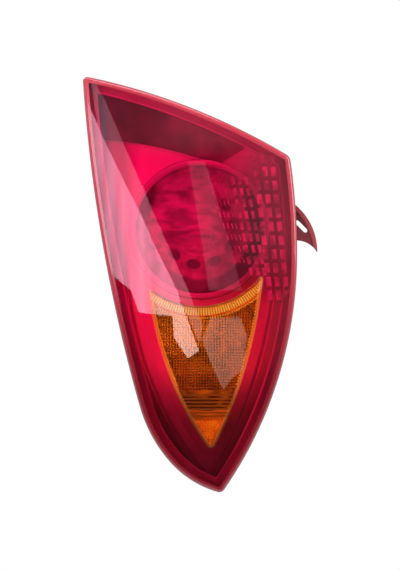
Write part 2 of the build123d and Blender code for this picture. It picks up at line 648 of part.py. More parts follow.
# Bead between lens skirt and housing
bead_shape = outline(SEAL_INSET) - outline(SEAL_INSET + SEAL_W)
nodes["lens_seal"] = (prism(bead_shape, FAR, 0) & skin(LENS_SKIRT)) - skin(LENS_SKIRT + SEAL_T)

# Bulbs: turned base with two pins, glass envelope and filaments
socket_floor = GASKET_T - RAIL_T
base_end = socket_floor - SPRING_R - RAIL_T
base_front = base_end - BULB_BASE_L
pin_y = base_end - BULB_BASE_L * 0.6


def bulb_glass(x, z):
    r = BULB_BASE_R - GLASS_T
    tip = base_front - BULB_GLASS_L
    mid = tip + BULB_GLASS_R
    neck = base_front - BULB_GLASS_L * 0.2
    outer = make_face([
        Polyline((0, tip), (0, base_front), (r, base_front), (r, neck)),
        Line((r, neck), (BULB_GLASS_R, mid)),
        RadiusArc((BULB_GLASS_R, mid), (0, tip), BULB_GLASS_R),
    ])
    r_in = r - GLASS_T
    inner = make_face([
        Polyline((0, tip + GLASS_T), (0, neck), (r_in, neck)),
        Line((r_in, neck), (BULB_GLASS_R - GLASS_T, mid)),
        RadiusArc((BULB_GLASS_R - GLASS_T, mid), (0, tip + GLASS_T), BULB_GLASS_R - GLASS_T),
    ])
    return Pos(x, 0, z) * revolve(outer - inner, Axis.Y)


def bulb_base(x, z, contacts):
    base = bar(BULB_BASE_R, base_front, base_end, x, z)
    base += Pos(x, pin_y, z) * Rot(0, 90, 0) * Cylinder(BAYONET_R, 2 * (BULB_BASE_R + BAYONET_REACH))
    for cx in contacts:
        base += bar(SPRING_R, base_end, base_end + RAIL_T / 2, cx, z)
    return base


def filament(x, z, y):
    wire = Pos(x, y, z) * Rot(0, 90, 0) * Cylinder(FILAMENT_R, FILAMENT_L)
    for sign in (-1, 1):
        wire += bar(FILAMENT_R, y, base_front - BULB_GLASS_L * 0.2, x + sign * (FILAMENT_L / 2 - FILAMENT_R), z)
    return wire


stop_contacts = [-RAIL_OFFSET, RAIL_OFFSET]
turn_contacts = [TURN_X]
bulb_mid = base_front - BULB_GLASS_L + BULB_GLASS_R
nodes["stop_bulb_glass"] = bulb_glass(0, 0)
nodes["stop_bulb_base"] = bulb_base(0, 0, stop_contacts)
nodes["stop_bulb_filaments"] = Part() + [
    filament(0, FILAMENT_SPREAD, bulb_mid), filament(0, -FILAMENT_SPREAD, bulb_mid + FILAMENT_L)]
nodes["turn_bulb_glass"] = bulb_glass(TURN_X, -TURN_Z)
nodes["turn_bulb_base"] = bulb_base(TURN_X, -TURN_Z, turn_contacts)
nodes["turn_bulb_filament"] = filament(TURN_X, -TURN_Z, bulb_mid)

# Carrier plate with two sockets, ribs and slots for the strips and blades
holder = prism(plate_shape, GASKET_T, plate_back)
socket_r = BULB_BASE_R + SOCKET_FIT
socket_out = socket_r + SOCKET_WALL
socket_top = GASKET_T - SOCKET_L
for x, z in ((0.0, 0.0), (TURN_X, -TURN_Z)):
    holder += bar(socket_out, socket_top, plate_back, x, z) - bar(socket_r, FAR, GASKET_T, x, z)
    slot_w = 2 * (BAYONET_R + SOCKET_FIT)
    holder -= prism(Pos(x, z) * Rectangle(2 * socket_out + 1, slot_w), FAR, pin_y + BAYONET_R + SOCKET_FIT)
grip = Pos(holder_x, holder_z - SHELL_H) * Rectangle(HOLDER_W * 0.5, HOLDER_T)
holder += prism(grip, plate_back, plate_back + 2 * HOLDER_T)

# Feed strips on the inner side of the plate, from the blades to the sockets
strip_y = GASKET_T - RAIL_T
blade_z = holder_z
blade_xs = [holder_x + (i - 1.5) * BLADE_PITCH for i in range(4)]
earth_x, tail_x, stop_x, turn_x = blade_xs


def strip(points):
    """Flat strip on the plate along straight runs."""
    shape = Sketch()
    for (xa, za), (xb, zb) in zip(points, points[1:]):
        shape += Pos((xa + xb) / 2, (za + zb) / 2) * Rectangle(
            abs(xb - xa) + RAIL_W, abs(zb - za) + RAIL_W)
    return prism(shape, strip_y, GASKET_T)


bend_z = blade_z + SHELL_H / 2
earth_line = -socket_out - EARTH_RAIL_OUT
rails = {
    "tail_strip": strip([(tail_x, blade_z), (tail_x, bend_z), (-RAIL_OFFSET, bend_z), (-RAIL_OFFSET, 0)]),
    "stop_strip": strip([(stop_x, blade_z), (stop_x, bend_z), (RAIL_OFFSET, bend_z), (RAIL_OFFSET, 0)]),
    "turn_strip": strip([(turn_x, blade_z), (turn_x, -TURN_Z + 2 * socket_out),
                         (TURN_X, -TURN_Z + 2 * socket_out), (TURN_X, -TURN_Z)]),
    "earth_strip": strip([(earth_x, blade_z), (earth_line, blade_z), (earth_line, 0),
                          (earth_line, -TURN_Z)]),
}
arm_y = socket_top + 2
arms = []
for x, z in ((0.0, 0.0), (TURN_X, -TURN_Z)):
    tip = x - BULB_BASE_R - SEAT_GAP
    arm = Rectangle(tip - earth_line, RAIL_W)
    arms.append(Pos((tip + earth_line) / 2, z - RAIL_W) * arm)
for shape in arms:
    rails["earth_strip"] += prism(shape, strip_y - RAIL_W, GASKET_T)
    notch = offset(shape, SLOT_FIT, kind=Kind.INTERSECTION)
    holder -= prism(notch, strip_y - RAIL_W - SLOT_FIT, GASKET_T)
for name in ("tail_strip", "stop_strip", "turn_strip"):
    box = rails[name].bounding_box()
    holder -= offset(rails[name], SLOT_FIT, kind=Kind.INTERSECTION) & prism(
        Rectangle(4 * INNER_TOP_X, 4 * INNER_TOP_Z), FAR, GASKET_T)
for x in blade_xs:
    holder -= prism(Pos(x, blade_z) * Rectangle(BLADE_W + 2 * SLOT_FIT, BLADE_T + 2 * SLOT_FIT), 0, plate_back + 1)
nodes["bulb_holder"] = holder
nodes.update(rails)

# Contact springs between the strips and the bulb contacts
springs = [bar(SPRING_R, base_end + RAIL_T / 2 + WELD_GAP, strip_y, x, z)
           for x, z in ((stop_contacts[0], 0), (stop_contacts[1], 0), (TURN_X, -TURN_Z))]
nodes["socket_springs"] = Part() + springs

# Seal between carrier plate and housing
land = offset(mouth, GASKET_W + 1) - offset(mouth, 1)
nodes["holder_gasket"] = prism(land, 0, GASKET_T)

# Plug socket and its blades
shell_back = plate_back + SHELL_DEPTH
shell = prism(Pos(holder_x, blade_z) * round_box(SHELL_W, SHELL_H, SHELL_WALL), plate_back, shell_back)
hollow = round_box(SHELL_W - 2 * SHELL_WALL, SHELL_H - 2 * SHELL_WALL, SHELL_WALL / 2)
shell -= prism(Pos(holder_x, blade_z) * hollow, plate_back + SHELL_WALL, shell_back + 1)
blade_end = plate_back + SHELL_WALL + BLADE_REACH
blades = []
for x in blade_xs:
    shell -= prism(Pos(x, blade_z) * Rectangle(BLADE_W + 2 * SLOT_FIT, BLADE_T + 2 * SLOT_FIT), 0, shell_back)
    blades.append(prism(Pos(x, blade_z) * Rectangle(BLADE_W, BLADE_T), GASKET_T, blade_end))
nodes["connector_shell"] = shell
nodes["connector_blades"] = Part() + blades

# Studs, foam ring and breather on the back
for name, (x, z) in zip(("upper_stud", "lower_stud"), stud_places):
    stud = bar(STUD_ROOT_R, -STUD_ROOT_L, 0, x, z) + bar(STUD_R, 0, STUD_LENGTH, x, z)
    nodes[name] = chamfer(stud.faces().sort_by(Axis.Y)[-1].edges(), STUD_R / 3)
nodes["body_gasket"] = prism(outline(foam_in) - outline(foam_in + FOAM_W), 0, FOAM_T)
vent = bar(VENT_R, 0, HOUSING_WALL, VENT_X, VENT_Z) + bar(VENT_STEM_R, -2 * HOUSING_WALL, 0, VENT_X, VENT_Z)
nodes["vent_cap"] = vent - bar(VENT_BORE_R, FAR, HOUSING_WALL / 2, VENT_X, VENT_Z)

for name, solid in nodes.items():
    export_step(Pos(UPPER_STUD_X, 0, -UPPER_STUD_Z) * solid, "parts/" + name + ".step")
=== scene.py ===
import math
import bpy
from mathutils import Matrix, Vector
from mathutils.bvhtree import BVHTree


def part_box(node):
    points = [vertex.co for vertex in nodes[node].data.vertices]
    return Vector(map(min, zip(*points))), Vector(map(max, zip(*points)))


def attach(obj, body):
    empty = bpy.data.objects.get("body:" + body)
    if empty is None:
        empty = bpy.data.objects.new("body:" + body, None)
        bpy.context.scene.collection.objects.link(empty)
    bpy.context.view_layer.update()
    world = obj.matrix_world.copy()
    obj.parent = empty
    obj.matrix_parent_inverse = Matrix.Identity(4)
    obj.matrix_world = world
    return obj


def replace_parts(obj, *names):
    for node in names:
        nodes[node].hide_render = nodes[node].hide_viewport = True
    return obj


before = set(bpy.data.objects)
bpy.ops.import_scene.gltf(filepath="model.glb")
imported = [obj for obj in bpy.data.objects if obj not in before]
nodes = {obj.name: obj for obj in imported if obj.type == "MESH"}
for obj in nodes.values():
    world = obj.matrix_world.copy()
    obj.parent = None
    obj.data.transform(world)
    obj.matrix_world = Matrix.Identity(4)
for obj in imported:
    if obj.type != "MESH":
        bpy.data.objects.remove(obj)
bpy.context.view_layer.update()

# Lamp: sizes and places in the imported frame, in metres

# Axis of the round chamber, along Y
AXIS_X, AXIS_Z = 0.034, -0.084

# Crown of the lens face, which is part of a torus
CROWN_X = AXIS_X - 0.015
CROWN_Y = -0.118
CROWN_Z = AXIS_Z - 0.020
CROWN_R_ACROSS = 0.240
CROWN_R_TALL = 0.640

# Amber window: corners, bulges of its two sides, radius of its upper edge and of the ribbed band below it
TIP = (AXIS_X + 0.0115, AXIS_Z - 0.213)
INNER = (AXIS_X - 0.050, AXIS_Z - 0.045)
OUTER = (AXIS_X + 0.061, AXIS_Z - 0.040)
INNER_BULGE = 0.0125
OUTER_BULGE = 0.0090
TOP_R = 0.0732
BAND_R = 0.0836

# Plain stretch across the amber window, between its two fields of prisms
PLAIN_TOP = AXIS_Z - 0.154
PLAIN_FOOT = AXIS_Z - 0.183


def skin_y(x, z):
    """Y of the crowned lens face at a front-view place."""
    across = math.sqrt(CROWN_R_ACROSS ** 2 - (x - CROWN_X) ** 2)
    tall = CROWN_R_TALL - CROWN_R_ACROSS + across
    return CROWN_Y + CROWN_R_TALL - math.sqrt(tall ** 2 - (z - CROWN_Z) ** 2)


def from_chamber(x, z):
    """Distance of a front-view place from the chamber axis."""
    return math.hypot(x - AXIS_X, z - AXIS_Z)


def circles_through(a, b, bulge):
    """Both circles with an arc of that bulge from a to b, each as centre x, centre z and radius."""
    half = math.hypot(b[0] - a[0], b[1] - a[1]) / 2
    r = (half * half + bulge * bulge) / (2 * bulge)
    along_x, along_z = (b[0] - a[0]) / (2 * half), (b[1] - a[1]) / (2 * half)
    mid_x, mid_z = (a[0] + b[0]) / 2, (a[1] + b[1]) / 2
    to_centre = r - bulge
    return [(mid_x + side * along_z * to_centre, mid_z - side * along_x * to_centre, r) for side in (1, -1)]


# Sides of the amber window bow outwards, so each centre lies on the far side
inner_side = max(circles_through(INNER, TIP, INNER_BULGE))
outer_side = min(circles_through(OUTER, TIP, OUTER_BULGE))


def in_amber(x, z, edge):
    """Whether a front-view place is on the amber window, at least so far from its edge."""
    return (from_chamber(x, z) > TOP_R + edge and z < AXIS_Z
            and all(math.hypot(x - cx, z - cz) < r - edge for cx, cz, r in (inner_side, outer_side)))


def along(side, start, step, outset, count):
    """Angles and places at equal steps level with one side of the amber window, outside or inside it."""
    cx, cz, r = side
    first = math.atan2(start[1] - cz, start[0] - cx)
    for i in range(count):
        angle = first + i * step / r
        yield angle, cx + (r + outset) * math.cos(angle), cz + (r + outset) * math.sin(angle)


# Materials

CLEAR_IOR = 1.49
MOULD_GRAIN = 0.0003


class Graph:
    """Shader nodes of one material or of the world."""

    def __init__(self, tree):
        self.tree = tree

    def node(self, kind, operation=None):
        made = self.tree.nodes.new("ShaderNode" + kind)
        if operation:
            made.operation = operation
        return made

    def put(self, value, socket):
        """Links an output to a socket, or sets a constant on it."""
        if isinstance(value, bpy.types.NodeSocket):
            self.tree.links.new(value, socket)
        else:
            socket.default_value = value

    def place(self):
        """Place on the piece, in metres."""
        return self.node("TexCoord").outputs["Object"]

    def coordinate(self, which):
        """One coordinate of the place, in metres."""
        split = self.node("SeparateXYZ")
        self.put(self.place(), split.inputs["Vector"])
        return split.outputs[which]

    def vector(self, operation, source, by):
        step = self.node("VectorMath", operation)
        self.put(source, step.inputs[0])
        self.put(by, step.inputs[1])
        return step.outputs["Vector"]

    def distance(self, x=AXIS_X, z=AXIS_Z):
        """Distance from an axis along Y, that of the chamber unless told."""
        length = self.node("VectorMath", "LENGTH")
        off_axis = self.vector("SUBTRACT", self.place(), (x, 0, z))
        self.put(self.vector("MULTIPLY", off_axis, (1, 0, 1)), length.inputs[0])
        return length.outputs["Value"]

    def noise(self, scale, detail=3.0, stretch=None, distortion=0.0):
        texture = self.node("TexNoise")
        self.put(scale, texture.inputs["Scale"])
        self.put(detail, texture.inputs["Detail"])
        self.put(distortion, texture.inputs["Distortion"])
        place = self.place()
        if stretch:
            place = self.vector("MULTIPLY", place, stretch)
        self.put(place, texture.inputs["Vector"])
        return texture.outputs["Fac"]

    def spread(self, source, low, high, start=0.0, end=1.0):
        """Goes from low to high while the source goes from start to end."""
        span = self.node("MapRange")
        inputs = {"Value": source, "From Min": start, "From Max": end, "To Min": low, "To Max": high}
        for name, value in inputs.items():
            self.put(value, span.inputs[name])
        return span.outputs["Result"]

    def rise(self, source, start, end):
        return self.spread(source, 0.0, 1.0, start, end)

    def fall(self, source, start, end):
        return self.spread(source, 1.0, 0.0, start, end)

    def combine(self, operation, *values):
        """Values taken together one after the other by one operation."""
        result = values[0]
        for value in values[1:]:
            step = self.node("Math", operation)
            self.put(result, step.inputs[0])
            self.put(value, step.inputs[1])
            result = step.outputs["Value"]
        return result

    def times(self, *values):
        return self.combine("MULTIPLY", *values)

    def most(self, *values):
        return self.combine("MAXIMUM", *values)

    def ramp(self, source, *stops):
        """Colour by stops, each a position with a colour or a grey."""
        bar = self.node("ValToRGB")
        marks = bar.color_ramp.elements
        colours = [(tone, tone, tone, 1) if isinstance(tone, float) else (*tone, 1) for _, tone in stops]
        for mark, at in ((marks[0], 0), (marks[1], -1)):
            mark.position = stops[at][0]
            mark.color = colours[at]
        for (position, _), colour in zip(stops[1:-1], colours[1:-1]):
            marks.new(position).color = colour
        self.put(source, bar.inputs["Fac"])
        return bar.outputs["Color"]

    def mix(self, kind, factor, first, second):
        mixer = self.node("Mix")
        mixer.data_type = "RGBA"
        mixer.blend_type = kind
        self.put(factor, mixer.inputs["Factor"])
        self.put(first, mixer.inputs["A"])
        self.put(second, mixer.inputs["B"])
        return mixer.outputs["Result"]


class Finish(Graph):
    """Material of one surface, on the principled shader."""

    def __init__(self, name):
        self.material = bpy.data.materials.new(name)
        self.material.use_nodes = True
        super().__init__(self.material.node_tree)
        self.shader = self.tree.nodes["Principled BSDF"]

    def give(self, name, value):
        self.put(value, self.shader.inputs[name])

    def relief(self, source, strength):
        """Fine grain of a mould."""
        bump = self.node("Bump")
        self.put(strength, bump.inputs["Strength"])
        self.put(MOULD_GRAIN, bump.inputs["Distance"])
        self.put(source, bump.inputs["Height"])
        self.give("Normal", bump.outputs["Normal"])

    def see_through(self, tint):
        """Shadow rays pass in its tint, so that light reaches what lies behind."""
        clear = self.node("BsdfTransparent")
        self.put((*tint, 1), clear.inputs["Color"])
        shader = self.node("MixShader")
        self.put(self.node("LightPath").outputs["Is Shadow Ray"], shader.inputs["Fac"])
        self.put(self.shader.outputs["BSDF"], shader.inputs[1])
        self.put(clear.outputs["BSDF"], shader.inputs[2])
        self.put(shader.outputs["Shader"], self.tree.nodes["Material Output"].inputs["Surface"])

    def polish(self, rough):
        """Clear and polished, with slightly uneven gloss."""
        self.give("Transmission Weight", 1.0)
        self.give("IOR", CLEAR_IOR)
        self.give("Roughness", self.spread(self.noise(260.0), *rough))


def clear_moulding(name, deep, colour, tint, rough):
    """Clear moulding whose two colours mingle."""
    finish = Finish(name)
    finish.give("Base Color", finish.ramp(finish.noise(14.0, 2.0), (0.3, deep), (0.7, colour)))
    finish.polish(rough)
    finish.see_through(tint)
    return finish.material


def metal(name, dark, colour, rough, scale=60.0, metallic=1.0):
    """Metal or a metallised moulding, with patches of two tones, the paler ones duller."""
    finish = Finish(name)
    patches = finish.noise(scale)
    finish.give("Base Color", finish.ramp(patches, (0.3, dark), (0.75, colour)))
    finish.give("Metallic", metallic)
    finish.give("Roughness", finish.spread(patches, *rough))
    return finish.material


def plastic(name, dark, colour, rough, scale=900.0, strength=0.15):
    """Opaque moulding with the grain of its mould."""
    finish = Finish(name)
    grain = finish.noise(scale, 4.0)
    finish.give("Base Color", finish.ramp(finish.noise(25.0, 2.0), (0.3, dark), (0.7, colour)))
    finish.give("Roughness", finish.spread(grain, *rough))
    finish.relief(grain, strength)
    return finish.material


def fine_plastic(name, dark, colour, rough):
    """Opaque moulding with hardly any grain."""
    return plastic(name, dark, colour, rough, scale=500.0, strength=0.03)


def graded(name, stops, heights, rough, coat=0.0):
    """Moulding whose colour changes with height."""
    finish = Finish(name)
    shade = finish.ramp(finish.rise(finish.coordinate("Z"), *heights), *stops)
    patches = finish.ramp(finish.noise(25.0, 2.0), (0.3, 0.92), (0.7, 1.0))
    finish.give("Base Color", finish.mix("MULTIPLY", 1.0, shade, patches))
    grain = finish.noise(450.0, 4.0)
    finish.give("Roughness", finish.spread(grain, *rough))
    finish.give("Coat Weight", coat)
    finish.relief(grain, 0.03)
    return finish.material


def red_lens():
    """Red that turns a little warmer towards the point."""
    finish = Finish("red_lens")
    height = finish.rise(finish.coordinate("Z"), -0.20, -0.08)
    finish.give("Base Color", finish.ramp(height, (0.0, (0.96, 0.085, 0.235)), (1.0, (0.96, 0.045, 0.265))))
    finish.polish((0.006, 0.018))
    finish.see_through((0.97, 0.22, 0.51))
    return finish.material


def smoked_optic():
    """Clear sheet, smoky round the pads, hazy over the upper inner part of the chamber, with painted
    highlights there as streaks.
    """
    finish = Finish("smoked_optic")
    x, z, out = finish.coordinate("X"), finish.coordinate("Z"), finish.distance()
    padded_across = finish.times(finish.rise(x, AXIS_X + 0.010, AXIS_X + 0.045),
                                 finish.fall(x, AXIS_X + 0.074, AXIS_X + 0.083))
    padded_up = finish.times(finish.fall(z, AXIS_Z + 0.040, AXIS_Z + 0.066),
                             finish.rise(z, AXIS_Z - 0.068, AXIS_Z - 0.050))
    smoke = finish.ramp(finish.times(padded_across, padded_up),
                        (0.0, (0.93, 0.93, 0.94)), (0.5, (0.76, 0.76, 0.77)), (1.0, (0.62, 0.62, 0.63)))
    # Painted highlights: wavy streaks, lighter and darker than the sheet, over the upper inner part of the
    # chamber
    streaked = finish.times(finish.fall(out, 0.046, 0.056),
                            finish.fall(x, AXIS_X + 0.008, AXIS_X + 0.022),
                            finish.rise(z, AXIS_Z - 0.026, AXIS_Z - 0.014))
    highlight_waves = finish.noise(70.0, 3.0, stretch=(0.55, 0.0, 1.7), distortion=0.6)
    painted_highlight_streaks = finish.ramp(highlight_waves, (0.38, 0.46), (0.48, 0.84), (0.58, 1.07))
    finish.give("Base Color", finish.mix("MULTIPLY", streaked, smoke, painted_highlight_streaks))
    finish.give("Transmission Weight", 1.0)
    finish.give("IOR", CLEAR_IOR)
    hazy = finish.times(finish.rise(z, AXIS_Z - 0.027, AXIS_Z - 0.010),
                        finish.fall(x, AXIS_X + 0.008, AXIS_X + 0.018),
                        finish.fall(out, 0.046, 0.054))
    uneven = finish.spread(finish.noise(260.0), 0.6, 1.4)
    finish.give("Roughness", finish.times(uneven, finish.spread(hazy, 0.03, 0.42)))
    finish.see_through((0.88, 0.88, 0.89))
    return finish.material


def frosted_pads():
    """Raised pads of the clear sheet, in mixed greys."""
    finish = Finish("frosted_pads")
    finish.give("Base Color", finish.ramp(finish.noise(95.0, 1.0), (0.36, (0.30, 0.30, 0.33)),
                                          (0.50, (0.56, 0.56, 0.60)), (0.64, (0.84, 0.84, 0.88))))
    finish.give("Roughness", finish.spread(finish.noise(300.0), 0.22, 0.40))
    finish.give("Transmission Weight", 0.45)
    finish.give("IOR", CLEAR_IOR)
    finish.see_through((0.80, 0.80, 0.82))
    return finish.material


def metallised():
    """Mottled bowl, with painted light that makes it brighter towards its upper outboard part."""
    finish = Finish("metallised")
    # Painted light: brighter towards the upper outboard part, darker towards the lower inner part
    painted_light_lift = finish.times(finish.spread(finish.coordinate("X"), 0.95, 1.10, AXIS_X - 0.03, AXIS_X + 0.04),
                        finish.spread(finish.coordinate("Z"), 0.87, 1.06, AXIS_Z - 0.160, AXIS_Z - 0.10))
    mottle = finish.times(finish.noise(38.0, 2.0), painted_light_lift)
    finish.give("Base Color", finish.ramp(mottle, (0.40, (0.10, 0.10, 0.11)), (0.48, (0.60, 0.60, 0.61)),
                                          (0.55, 1.0)))
    finish.give("Metallic", 0.15)
    finish.give("Roughness", finish.spread(finish.noise(60.0), 0.10, 0.22))
    return finish.material


def metallised_satin():
    """Tray with painted shade: dimmer towards the point and both sides, with painted shade and highlight
    lines alongside the amber window.
    """
    finish = Finish("metallised_satin")
    reach = 0.040

    def lines(side, *stops):
        """Painted shade and highlight lines: grey by the distance from one side of the amber window, in
        millimetres.
        """
        cx, cz, r = side
        outwards = finish.rise(finish.distance(cx, cz), r, r + reach)
        return finish.ramp(outwards, *((mm / (reach * 1000), grey) for mm, grey in stops))

    x, z = finish.coordinate("X"), finish.coordinate("Z")
    # Painted shade: darker towards the point
    height = finish.ramp(finish.rise(z, -0.300, -0.208), (0.0, 0.20), (0.45, 0.34), (1.0, 0.96))
    # Painted shade and highlight lines beside the amber window: dark grooves, thin bright lines and a darker
    # band further out
    inner = lines(inner_side, (0.0, 1.0), (15.5, 1.0), (17.6, 0.50), (19.0, 0.56), (20.6, 0.66), (22.0, 0.42),
                  (40.0, 0.36))
    outer = lines(outer_side, (0.0, 1.0), (6.0, 1.0), (9.5, 0.76), (11.0, 0.50), (13.0, 0.74), (15.0, 0.58),
                  (18.0, 0.52), (40.0, 0.56))
    # Painted shade: darker towards both sides above the window
    upper = finish.times(finish.spread(x, 0.46, 1.0, AXIS_X - 0.072, AXIS_X - 0.055),
                         finish.spread(x, 1.0, 0.72, AXIS_X + 0.035, AXIS_X + 0.060))
    above_window = finish.rise(z, AXIS_Z - 0.060, AXIS_Z - 0.035)
    sides = finish.mix("MIX", above_window, finish.times(inner, outer), upper)
    finish.give("Base Color", finish.times(height, sides))
    finish.give("Metallic", 0.35)
    finish.give("Roughness", finish.spread(finish.noise(60.0), 0.34, 0.46))
    return finish.material


def dark_trim():
    """Gloss black, mottled, with a painted sheen that makes it paler towards the outboard side."""
    finish = Finish("dark_trim")
    # Painted sheen: paler towards the outboard side
    across = finish.spread(finish.coordinate("X"), 0.55, 1.7, AXIS_X - 0.09, AXIS_X + 0.04)
    mottle = finish.times(finish.noise(34.0, 2.0), across)
    finish.give("Base Color", finish.ramp(mottle, (0.2, (0.075, 0.07, 0.073)), (0.55, (0.17, 0.15, 0.155)),
                                          (0.9, (0.32, 0.28, 0.29))))
    finish.give("Roughness", finish.spread(finish.noise(300.0), 0.10, 0.18))
    finish.give("Coat Weight", 0.3)
    return finish.material


def amber_lens():
    """Amber, paler along the ribbed band, with a painted glow along its edges: half-opaque orange that fades
    out downwards.
    """
    finish = Finish("amber_lens")
    amber = finish.ramp(finish.rise(finish.distance(), 0.070, 0.090),
                        (0.0, (1.0, 0.58, 0.10)), (0.30, (1.0, 0.62, 0.12)), (0.36, (1.0, 0.93, 0.42)),
                        (0.56, (1.0, 0.93, 0.42)), (0.62, (0.99, 0.45, 0.075)), (1.0, (0.98, 0.41, 0.06)))
    # Painted glow: half-opaque orange along both side edges, weaker on the outer one and fading out towards
    # the point
    clear_of_painted_glow = []
    for (cx, cz, r), at_edge in ((inner_side, 0.0), (outer_side, 0.35)):
        clear_of_painted_glow.append(finish.spread(finish.distance(cx, cz), 1.0, at_edge, r - 0.0034, r - 0.0016))
    painted_glow_fade = finish.spread(finish.coordinate("Z"), 0.85, 0.0, AXIS_Z - 0.165, AXIS_Z - 0.120)
    clear = finish.most(finish.times(*clear_of_painted_glow), painted_glow_fade)
    finish.give("Base Color", finish.mix("MIX", clear, (0.96, 0.085, 0.030, 1), amber))
    finish.polish((0.006, 0.02))
    finish.give("Transmission Weight", finish.spread(clear, 0.40, 1.0))
    finish.see_through((0.99, 0.68, 0.26))
    return finish.material


def amber_sparkle():
    """Prisms near the point of the amber window, mottled."""
    finish = Finish("amber_sparkle")
    finish.give("Base Color", finish.ramp(finish.noise(120.0, 2.0), (0.35, (0.86, 0.44, 0.08)),
                                          (0.65, (1.0, 0.70, 0.18))))
    finish.give("Roughness", finish.spread(finish.noise(300.0), 0.18, 0.30))
    return finish.material


def mask_metallised():
    """Stepped centre: bright dome and cone, floor next to the ring dark but for its top, where light is
    painted on.
    """
    finish = Finish("mask_metallised")
    # Painted light: the top of the dark floor next to the ring is made bright
    reach = finish.times(finish.rise(finish.distance(), 0.0, 0.062),
                         finish.spread(finish.coordinate("Z"), 1.0, 0.78, AXIS_Z + 0.022, AXIS_Z + 0.045))
    tone = finish.ramp(reach, (0.0, 0.94), (0.74, 0.95), (0.80, 0.40), (1.0, 0.30))
    mottle = finish.spread(finish.noise(55.0, 2.0), 0.60, 1.10, 0.38, 0.60)
    finish.give("Base Color", finish.times(tone, mottle))
    finish.give("Metallic", 0.4)
    finish.give("Roughness", finish.spread(finish.noise(70.0), 0.34, 0.48))
    finish.see_through((0.92, 0.92, 0.92))
    return finish.material


# Red and amber mouldings
# Painted shade: the rim and the skirt below it darker towards the point
red_rim = graded("red_rim", [(0.0, (0.25, 0.010, 0.020)), (1.0, (0.48, 0.020, 0.045))],
                 heights=(-0.24, -0.10), rough=(0.16, 0.24), coat=0.5)
red_skirt = graded("red_skirt", [(0.0, (0.15, 0.006, 0.012)), (1.0, (0.22, 0.009, 0.018))],
                   heights=(-0.24, -0.10), rough=(0.28, 0.40))
ear_red = fine_plastic("ear_red", (0.36, 0.030, 0.038), (0.44, 0.040, 0.050), rough=(0.34, 0.46))
amber_clear = clear_moulding("amber_prisms", (1.0, 0.94, 0.76), (1.0, 0.96, 0.80),
                             tint=(1.0, 0.97, 0.88), rough=(0.01, 0.03))
# Painted glow: pale yellow on the ribs, the beads and the edge of the foot stands in for light coming through
# the amber
amber_glow_paint = fine_plastic("amber_glow_paint", (0.98, 0.76, 0.20), (1.0, 0.82, 0.24), rough=(0.2, 0.3))
# Painted shade: darker orange in the gaps between the ribs
amber_gaps = fine_plastic("amber_gaps", (0.66, 0.12, 0.045), (0.78, 0.16, 0.06), rough=(0.2, 0.3))
# Painted shade: the bars dark brown
amber_bars = fine_plastic("amber_bars", (0.22, 0.075, 0.014), (0.30, 0.11, 0.02), rough=(0.2, 0.3))

# Pale inner mouldings that stand in for light: white as painted light and painted highlights, darker towards
# the point as painted shade, which on the lip's inner side begins higher up
ledge_painted_light = graded("ledge_painted_light", [(0.0, 0.60), (1.0, (0.94, 0.94, 0.95))],
                       heights=(-0.23, -0.13), rough=(0.35, 0.48))
# Painted light and shade: the foot of the amber window and the tray ridges pale, darker towards the point
amber_foot = graded("amber_foot", [(0.0, 0.16), (0.5, 0.42), (1.0, 0.96)],
                    heights=(-0.272, -0.216), rough=(0.25, 0.35))
# Painted light: white on the stop reflector, and painted highlights on the ledge and rim of the bowl behind
# the amber window
white_painted_light = fine_plastic("white_painted_light", (0.90, 0.90, 0.92), (0.94, 0.94, 0.95), rough=(0.18, 0.28))
lip_highlight_stops = [(0.0, 0.40), (1.0, (0.92, 0.92, 0.93))]
inner_lip_highlight = graded("inner_lip_highlight", lip_highlight_stops, heights=(-0.255, -0.165), rough=(0.18, 0.28))
outer_lip_highlight = graded("outer_lip_highlight", lip_highlight_stops, heights=(-0.310, -0.245), rough=(0.18, 0.28))
bright_ring = metal("bright_ring", (0.86, 0.86, 0.88), (0.93, 0.93, 0.94), rough=(0.08, 0.15), metallic=0.2)

# Back, bulbs and contacts
housing_black = plastic("housing_black", (0.024, 0.024, 0.027), (0.035, 0.035, 0.038), rough=(0.42, 0.6))
holder_grey = plastic("holder_grey", (0.33, 0.34, 0.35), (0.40, 0.41, 0.42), rough=(0.4, 0.55))
seal = plastic("seal", (0.02, 0.02, 0.021), (0.03, 0.03, 0.031), rough=(0.7, 0.85),
               scale=500.0, strength=0.2)
foam = plastic("foam", (0.05, 0.05, 0.054), (0.075, 0.075, 0.08), rough=(0.85, 0.98),
               scale=420.0, strength=0.9)
steel = metal("steel", (0.52, 0.52, 0.5), (0.66, 0.66, 0.64), rough=(0.22, 0.38), scale=200.0)
brass = metal("brass", (0.66, 0.47, 0.2), (0.78, 0.58, 0.26), rough=(0.2, 0.35), scale=150.0)
bulb_clear = clear_moulding("bulb_clear", (0.95, 0.96, 0.96), (0.97, 0.98, 0.98),
                            tint=(0.98, 0.98, 0.98), rough=(0.005, 0.015))
bulb_amber = clear_moulding("bulb_amber", (0.95, 0.5, 0.05), (0.97, 0.55, 0.06),
                            tint=(0.98, 0.7, 0.25), rough=(0.005, 0.015))

